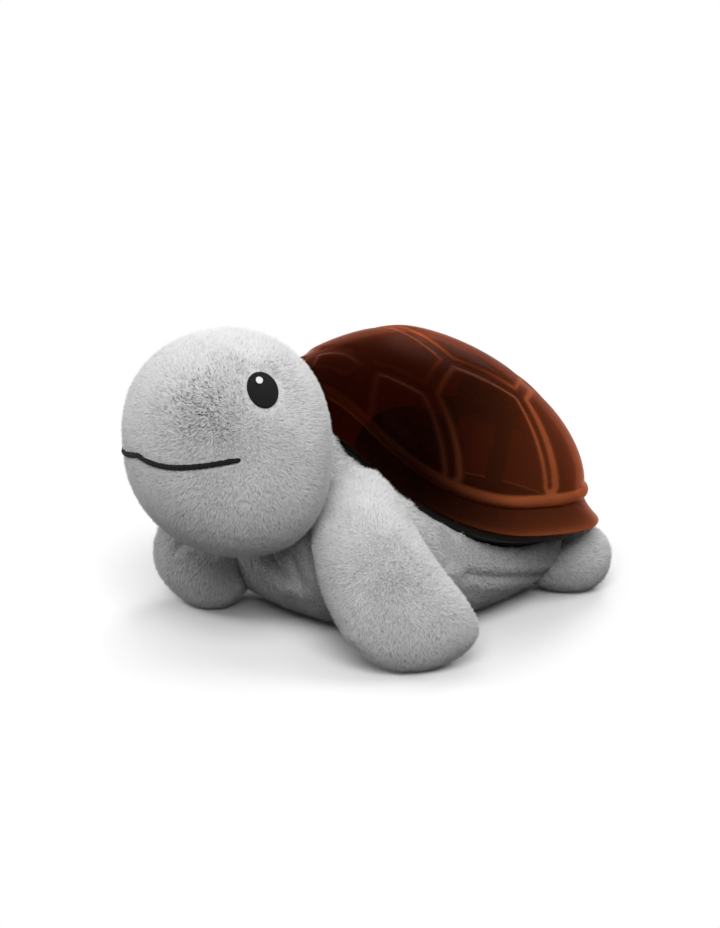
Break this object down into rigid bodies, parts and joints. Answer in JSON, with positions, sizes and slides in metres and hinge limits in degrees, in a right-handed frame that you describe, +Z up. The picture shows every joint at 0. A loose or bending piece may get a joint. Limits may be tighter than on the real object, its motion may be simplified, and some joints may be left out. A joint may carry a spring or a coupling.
{
  "type": "plush turtle night light",
  "caption": "Plush turtle with a glossy translucent scute shell that lights from inside, push buttons at the rear of the shell and a battery door in the belly.",
  "frame": {"origin": "middle of the front bar of the battery box flange, on the face the turtle stands on", "axes": "+Z up, +Y from head to tail, +X to the left side of the turtle"},
  "size_m": [0.1838, 0.239, 0.142],
  "materials": {
    "plush": "short pile plush",
    "stitching": "satin stitch",
    "white_stitching": "satin stitch",
    "shell_brown": "tinted translucent, glossy",
    "tray_black": "moulded",
    "mask_dark": "moulded",
    "board_green": "solder mask",
    "chip_black": "moulded",
    "lens_amber": "clear tinted",
    "lens_green": "clear tinted",
    "lens_blue": "clear tinted",
    "button_amber": "moulded",
    "button_green": "moulded",
    "button_blue": "moulded",
    "ivory": "moulded",
    "cell_wrap": "sleeved",
    "steel": "plated",
    "lead_red": "insulated wire",
    "lead_grey": "insulated wire"
  },
  "bodies": {
    "turtle": {"plush_body": "plush", "plush_head": "plush", "flipper_left": "plush", "flipper_right": "plush", "rear_foot_left": "plush", "rear_foot_right": "plush", "eye_left": "stitching", "eye_right": "stitching", "eye_glints": "white_stitching", "mouth_stitching": "stitching", "shell_dome": "shell_brown", "base_tray": "tray_black", "star_mask": "mask_dark", "circuit_board": "board_green", "control_chip": "chip_black", "led_amber": "lens_amber", "led_green": "lens_green", "led_blue": "lens_blue", "switch_bracket": "tray_black", "switch_board": "board_green", "switch_bodies": "chip_black", "button_collars": "tray_black", "battery_box": "tray_black", "battery_cells": "cell_wrap", "contact_plates": "steel", "cell_springs": "steel", "dome_screws": "steel", "board_screws": "steel", "battery_leads": "lead_red", "switch_leads": "lead_grey"},
    "button_left": {"button_left": "button_amber", "plunger_left": "ivory"},
    "button_middle": {"button_middle": "button_green", "plunger_middle": "ivory"},
    "button_right": {"button_right": "button_blue", "plunger_right": "ivory"},
    "door": {"battery_door": "tray_black", "door_screw": "steel"}
  },
  "joints": [
    {"name": "button_left_press", "type": "slide", "parent": "turtle", "child": "button_left", "axis": [0, -0.8095, -0.5872], "range_m": [0, 0.001], "stiffness_N_per_m": 400},
    {"name": "button_middle_press", "type": "slide", "parent": "turtle", "child": "button_middle", "axis": [0, -0.8095, -0.5872], "range_m": [0, 0.001], "stiffness_N_per_m": 400},
    {"name": "button_right_press", "type": "slide", "parent": "turtle", "child": "button_right", "axis": [0, -0.8095, -0.5872], "range_m": [0, 0.001], "stiffness_N_per_m": 400},
    {"name": "door_hinge", "type": "hinge", "parent": "turtle", "child": "door", "pos_m": [0, 0.0063, 0.0023], "axis": [-1, 0, 0], "range_deg": [0, 90]}
  ]
}
